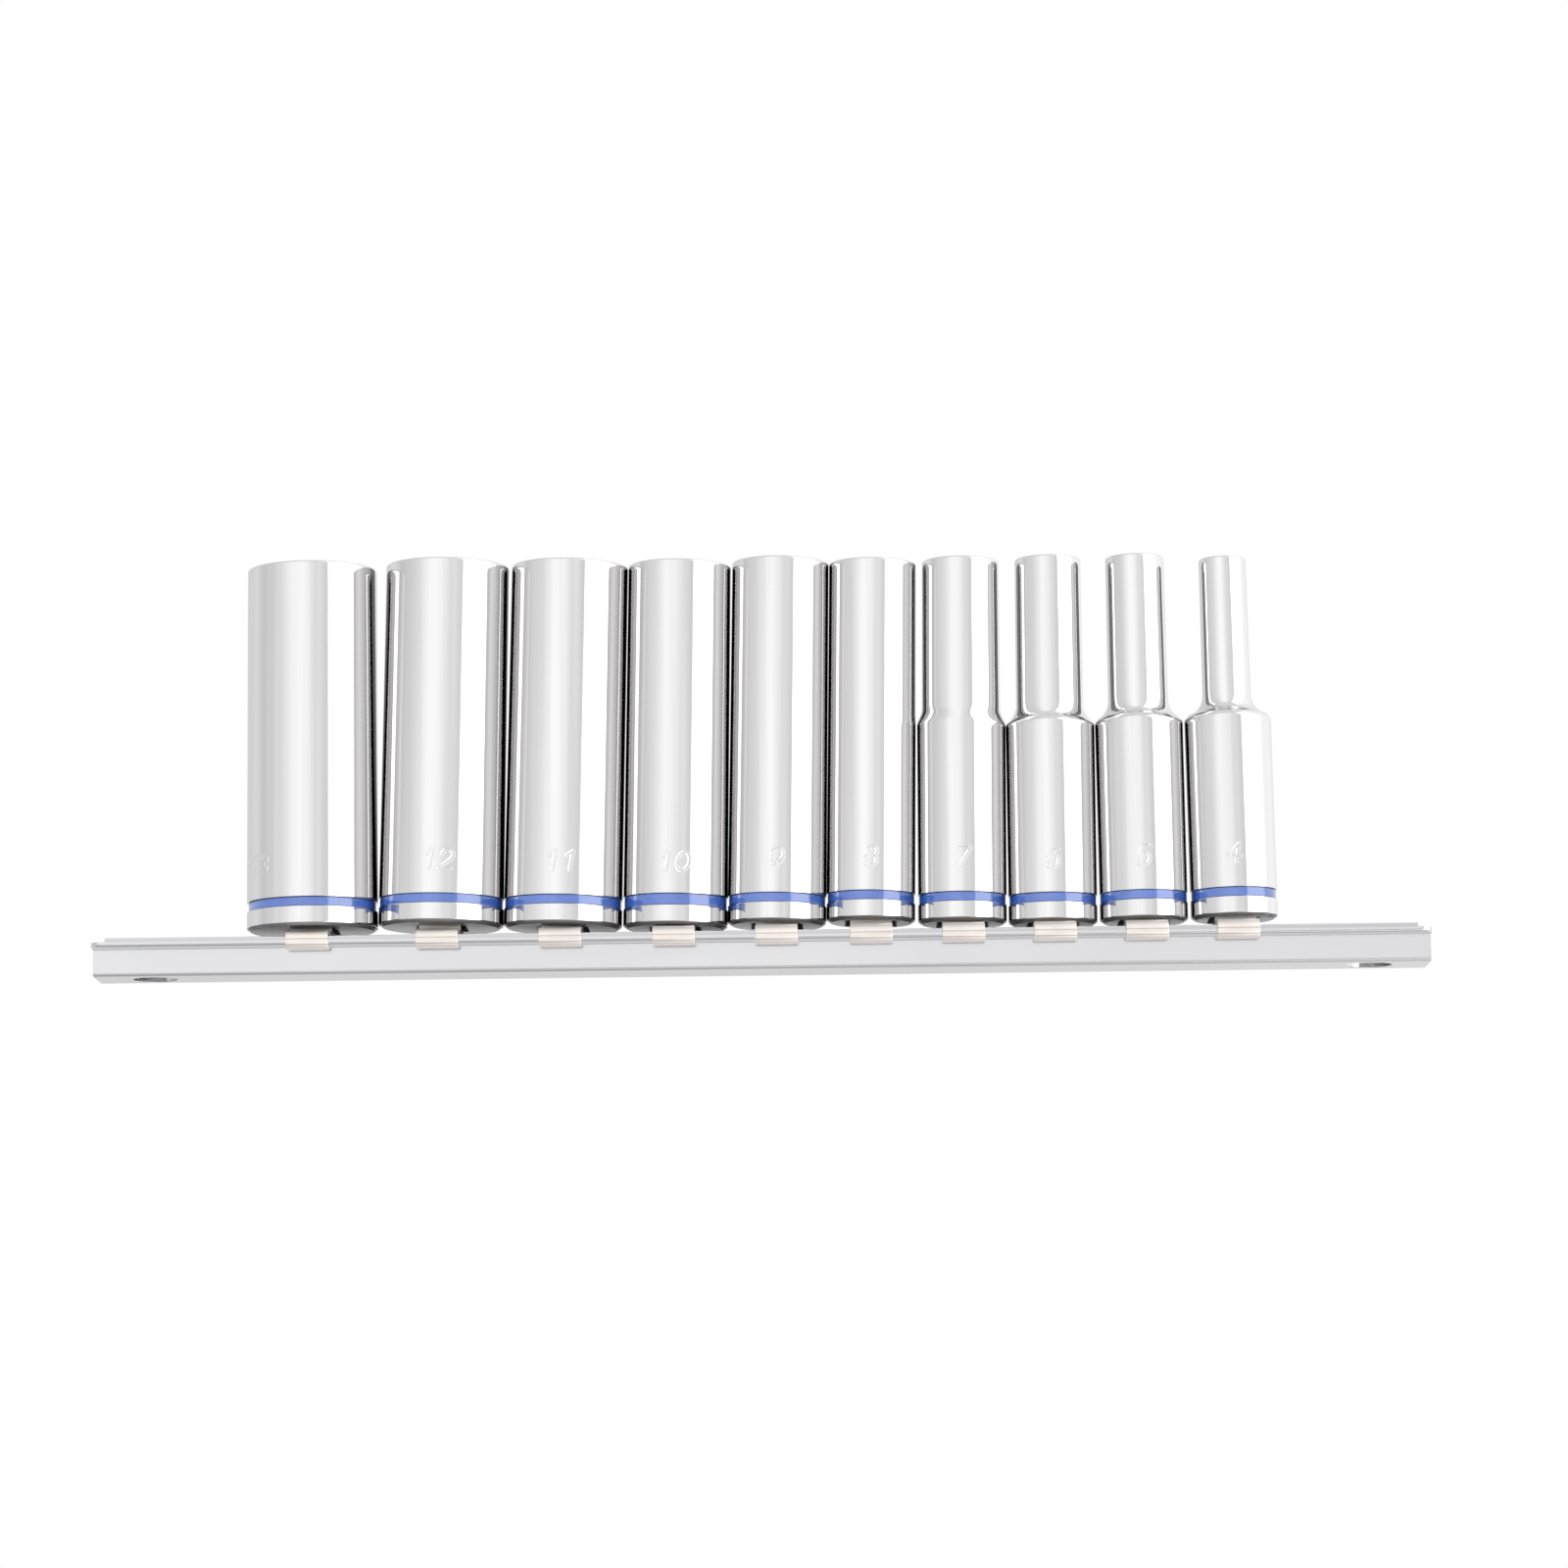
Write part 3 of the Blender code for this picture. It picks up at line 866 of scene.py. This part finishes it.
print("the shoulder of a 4 mm socket has", len(shoulder(4, 6, 3.4)[0]), "corners")

# %% [markdown]
# The outlines in the photograph are up to a tenth of a millimetre off the CAD radii, so each
# socket's radii grow or shrink by that much. The rim stays a hair under the CAD model's.

# %% The outside profile
# What is added to the CAD radii of a size, and of the sizes that aren't named
FITTED = {13: -0.002, 5: -0.02, 4: -0.10}
FITTED_OTHERS = 0.03
RIM_HAIR = 0.004
BASE_INNER = 0.75
BASE_CHAMFER = 0.6
BASE_CHAMFER_TOP = 0.4
GROOVE_DEPTH = 0.9
GROOVE_SLOPE = 0.04
LIP_IN = 0.09
LIP_CHAMFER = 0.2
LIP_FLAT = 0.6
SIDE_FLAT = 0.15


def outside(label, stand):
    """(radius, height) from the base's inner edge over the outside to the rim of the mouth."""
    grown = FITTED.get(label, FITTED_OTHERS)
    drive = stand.drive + grown
    mouth = stand.mouth + grown
    top = stand.length - RIM_HAIR
    lip = mouth - LIP_IN
    floor = drive - GROOVE_DEPTH
    middle, reaches = shoulder(label, drive, mouth)
    corners = [(drive - BASE_INNER, 0), (drive - BASE_CHAMFER, 0), (drive, BASE_CHAMFER_TOP),
               (drive, stand.low), (floor, stand.low + GROOVE_SLOPE),
               (floor, stand.high - GROOVE_SLOPE), (drive, stand.high),
               *middle,
               (lip, top - LIP_CHAMFER), (lip - LIP_CHAMFER, top), (lip - LIP_FLAT, top)]
    reach = [0.12, 0.12, 0.06, 0.08, 0.08, 0.06, *reaches, 0.05, 0.05]
    return held_flat(rounded(corners, reach), SIDE_FLAT)


print("the 4 mm socket's outside has", len(outside(4, stands[4])), "points")

# %% [markdown]
# ## The socket's inside
#
# Down from the mouth: a cone that leads the nut in, the hexagon, a round bore for the bolt's
# end, a narrow passage, and the square that takes the ratchet. Where the cone meets the
# hexagon, the hole is as wide as the wider of the two, which gives the scalloped edge.

# %% Radii of the inside
HEXAGON_PLAY = 0.1
LEAD_IN = 0.25
LEAD_DEPTHS = (0, 0.12, 0.24, 0.36, 0.5, 0.64, 0.8, 1.0)
RELIEF = 0.1
HEXAGON_DEPTH = 4.0
HEXAGON_DEPTH_SHARE = 0.55
BORE_END = 14
PASSAGE_RADIUS = 1.9
DRIVE_DEPTH = 9.2
DRIVE_HALF = 3.225
DRIVE_CHAMFER = 0.4


def reach_of(sides, apothem, first_corner, turns):
    """Distance to a regular polygon's side: apothem / cos(angle from the middle of that side)."""
    sector = 2 * math.pi / sides
    within = (turns - math.radians(first_corner)) % sector - sector / 2
    return apothem / np.cos(within)


def inside(label, top, turns):
    """Heights (rows,) and radii (rows, columns) from the mouth's rim down to the base's square."""
    across = label + HEXAGON_PLAY
    corner = across / 2 / math.cos(math.pi / 6)
    relief = corner + RELIEF
    floor = top - HEXAGON_DEPTH - HEXAGON_DEPTH_SHARE * across
    passage = min(PASSAGE_RADIUS, corner)
    hexagon = reach_of(6, across / 2, 0, turns)
    square = reach_of(4, DRIVE_HALF, 45, turns)
    lead = top - np.array(LEAD_DEPTHS)
    cone = corner + LEAD_IN - (top - lead)
    rows = [(height, np.maximum(hexagon, radius)) for height, radius in zip(lead, cone)]
    rows += [(floor, hexagon), (floor - RELIEF, relief)]
    rows += [(BORE_END + (relief - passage) / 2, relief), (BORE_END, passage)]
    rows += [(DRIVE_DEPTH, passage), (DRIVE_DEPTH, square)]
    rows += [(DRIVE_CHAMFER, square), (0, square + DRIVE_CHAMFER)]
    heights = np.array([height for height, _ in rows])
    return heights, np.stack([np.broadcast_to(radius, turns.shape) for _, radius in rows])


print("the inside has", len(inside(10, 50, np.zeros(4))[0]), "rings")

# %% [markdown]
# ## Size numbers
#
# The size is pressed into the side near the base, in slanted figures 2.5 mm tall. Each
# figure is a few strokes. The depth at a point follows from its distance to the nearest
# stroke: flat inside, and a short slope at the edge. The grid is finer there, so that the
# figures are real dents in the surface.

# %% Strokes of the figures
def bow(x, y, rx, ry, start, end, steps=20):
    """Points (x + rx cos a, y + ry sin a), a from start to end in degrees."""
    a = np.radians(np.linspace(start, end, steps))
    return np.stack([x + rx * np.cos(a), y + ry * np.sin(a)], axis=1)


six = [bow(0.62, 0.32, 0.60, 0.68, 102, 180), bow(0.31, 0.31, 0.29, 0.31, 0, 360, 32)]
FIGURES = {
    "0": [bow(0.31, 0.5, 0.29, 0.5, 0, 360, 36)],
    "1": [np.array([(0.10, 0.76), (0.38, 1.0), (0.38, 0.0)])],
    "2": [np.concatenate([bow(0.31, 0.71, 0.28, 0.29, 160, -40), [(0.03, 0), (0.60, 0)]])],
    "3": [np.concatenate([bow(0.29, 0.74, 0.26, 0.26, 150, -80), bow(0.29, 0.26, 0.30, 0.26, 80, -150)])],
    "4": [np.array([(0.44, 0), (0.44, 1.0), (0.0, 0.30), (0.62, 0.30)])],
    "5": [np.concatenate([[(0.56, 1.0), (0.12, 1.0), (0.08, 0.56)],
                          bow(0.29, 0.32, 0.30, 0.32, 130, -150)])],
    "6": six,
    "7": [np.array([(0.02, 1.0), (0.60, 1.0), (0.22, 0)])],
    "8": [bow(0.31, 0.76, 0.24, 0.24, 0, 360, 30), bow(0.31, 0.27, 0.29, 0.27, 0, 360, 30)],
    "9": [np.array([0.62, 1.0]) - stroke for stroke in six],
}
print("figures drawn:", "".join(FIGURES))

# %% Depth of a number at each point of the grid
TALL = 2.5
WIDE = 1.15
SLANT = 0.18
FIGURE_STEP = 0.95
FIGURE_MIDDLE = (0.31, 0.5)


def number_strokes(label):
    """Start and end (u, v) in mm of every short stroke, centred, leaning by SLANT."""
    parts = []
    for place, figure in enumerate(str(label)):
        shift = (place - (len(str(label)) - 1) / 2) * FIGURE_STEP
        for stroke in FIGURES[figure]:
            line = (stroke - FIGURE_MIDDLE) * (WIDE, 1) + (shift, 0)
            line = np.stack([line[:, 0] + SLANT * line[:, 1], line[:, 1]], axis=1) * TALL
            parts.append(np.stack([line[:-1], line[1:]], axis=1))
    return np.concatenate(parts)


def stroke_distance(u, v, strokes):
    """Least distance from (u, v) to the segments: |p - a - t (b - a)| with t held in 0..1."""
    p = np.stack([u, v], axis=-1)[..., None, :]
    a, b = strokes[:, 0], strokes[:, 1]
    t = np.clip(((p - a) * (b - a)).sum(-1) / ((b - a) ** 2).sum(-1), 0, 1)
    return np.linalg.norm(p - a - t[..., None] * (b - a), axis=-1).min(-1)


def pressed(distance, half_stroke=0.20, slope=0.10, depth=0.07):
    """Depth falls from full to nothing with a smooth step across the stroke's edge."""
    s = np.clip((half_stroke + slope / 2 - distance) / slope, 0, 1)
    return depth * s * s * (3 - 2 * s)


print("13 is drawn with", len(number_strokes(13)), "short strokes")

# %% [markdown]
# ## Building the sockets
#
# The columns of the grid stand every two and a half degrees, so the corners of the hexagon
# and the square fall on them, and they are denser across the number. The rows run up the
# outside and down the inside as one closed tube.

# %% The grid of a socket's outside, finer at the number
COLUMNS = np.radians(np.arange(0, 360, 2.5))
FINE = 0.07

# Angle from the front, and height, of a number's middle
NUMBER_AT = {13: (-48, 8.5)}
NUMBER_AT_OTHERS = (0, 8.45)

# How far the fine grid and the number's zone reach past or from the number's middle
FINE_MARGIN = 1.4
FINE_HALF = 1.6
ZONE_HALF = 1.7
ZONE_MARGIN = 0.2


def number_place(label, drive):
    """Angle and height of the number's middle, and half the angle of its fine grid."""
    angle, middle = NUMBER_AT.get(label, NUMBER_AT_OTHERS)
    wide = (len(str(label)) * FIGURE_STEP * TALL + FINE_MARGIN) / 2 / drive
    return math.radians(angle - 90), middle, wide


def outside_grid(label, stand):
    """Angles of the columns, and heights and radii of the rows, both denser at the number."""
    centre, middle, wide = number_place(label, stand.drive)
    fine = np.arange(centre - wide, centre + wide, FINE / stand.drive)
    turns = np.unique(np.concatenate([COLUMNS, fine % (2 * math.pi)]).round(5))
    profile = outside(label, stand)
    extra = np.arange(middle - FINE_HALF, middle + FINE_HALF, FINE)
    heights = np.concatenate([profile[:, 1], extra])
    radii = np.concatenate([profile[:, 0], np.interp(extra, profile[:, 1], profile[:, 0])])
    order = np.argsort(heights, kind="stable")
    return turns, heights[order], radii[order]


def number_depth(label, drive, heights, turns):
    """How deep the number is pressed in at each height and angle."""
    centre, middle, wide = number_place(label, drive)
    u = drive * ((turns - centre + math.pi) % (2 * math.pi) - math.pi)
    zone = (heights > middle - ZONE_HALF) & (heights < middle + ZONE_HALF)
    near = np.abs(u) < wide * drive + ZONE_MARGIN
    grid_u, grid_v = np.meshgrid(u[near], heights[zone] - middle)
    depth = np.zeros((len(heights), len(turns)))
    depth[np.ix_(zone, near)] = pressed(stroke_distance(grid_u, grid_v, number_strokes(label)))
    return depth


print("columns round a plain socket:", len(COLUMNS))

# %% Build the sockets
# Rows below this height, and inside deeper than this under the rim, get duller plating and painted shade
DULL_SHADE_BASE = 0.38
DULL_SHADE_INSIDE = 0.4


def build_socket(label):
    """The outside with its number, then the inside; under the base and in the bores the plating is duller
    and painted with shade.
    """
    stand = stands[label]
    turns, heights, radii = outside_grid(label, stand)
    depth = number_depth(label, stand.drive, heights, turns)
    inner_heights, inner_radii = inside(label, stand.length - RIM_HAIR, turns)
    all_heights = np.concatenate([heights, inner_heights])
    all_radii = np.concatenate([radii[:, None] - depth, inner_radii])
    socket = add_spun(f"deep_socket_{label}", all_radii, all_heights, turns, stand)
    # Rows under the base and inside the bores: duller plating and painted shade
    dull_shaded_rows = np.concatenate([heights < DULL_SHADE_BASE, inner_heights < stand.length - DULL_SHADE_INSIDE])
    add_values(socket, "grime", np.repeat(dull_shaded_rows, len(turns)))
    return stand_for(socket, f"socket_{label}", f"socket_{label}", polished)


sockets = [build_socket(label) for label in sizes]
print("faces of the sockets:", [len(socket.data.polygons) for socket in sockets])

# %% [markdown]
# ## The blue bands
#
# Each band fills its groove, a little lower than the socket's side, with soft edges. The bands
# at the two ends of the row lie deepest, as their outlines in the photograph show.

# %% Build the bands
BAND_PLAY = 0.05
BAND_INNER = 0.85
BAND_RECESS = 0.12
BAND_RECESS_AT_ENDS = 0.26
BAND_ROUND = 0.1
BAND_INNER_ROUND = 0.02


def build_band(label):
    """A small closed profile with rounded corners, spun round the socket's axis."""
    stand = stands[label]
    recess = BAND_RECESS_AT_ENDS if label in (sizes[0], sizes[-1]) else BAND_RECESS
    low = stand.low + BAND_PLAY
    high = stand.high - BAND_PLAY
    inner = stand.drive - BAND_INNER
    outer = stand.drive - recess
    middle = (low + high) / 2
    corners = [(inner, middle), (inner, low), (outer, low), (outer, high), (inner, high), (inner, middle)]
    ring = rounded(corners, [BAND_INNER_ROUND, BAND_ROUND, BAND_ROUND, BAND_INNER_ROUND])[1:]
    radii = np.broadcast_to(ring[:, :1], (len(ring), len(COLUMNS)))
    band = add_spun(f"colour_band_{label}", radii, ring[:, 1], COLUMNS, stand)
    return stand_for(band, f"band_{label}", f"socket_{label}", blue)


bands = [build_band(label) for label in sizes]
print("ten bands of", len(bands[0].data.polygons), "faces")
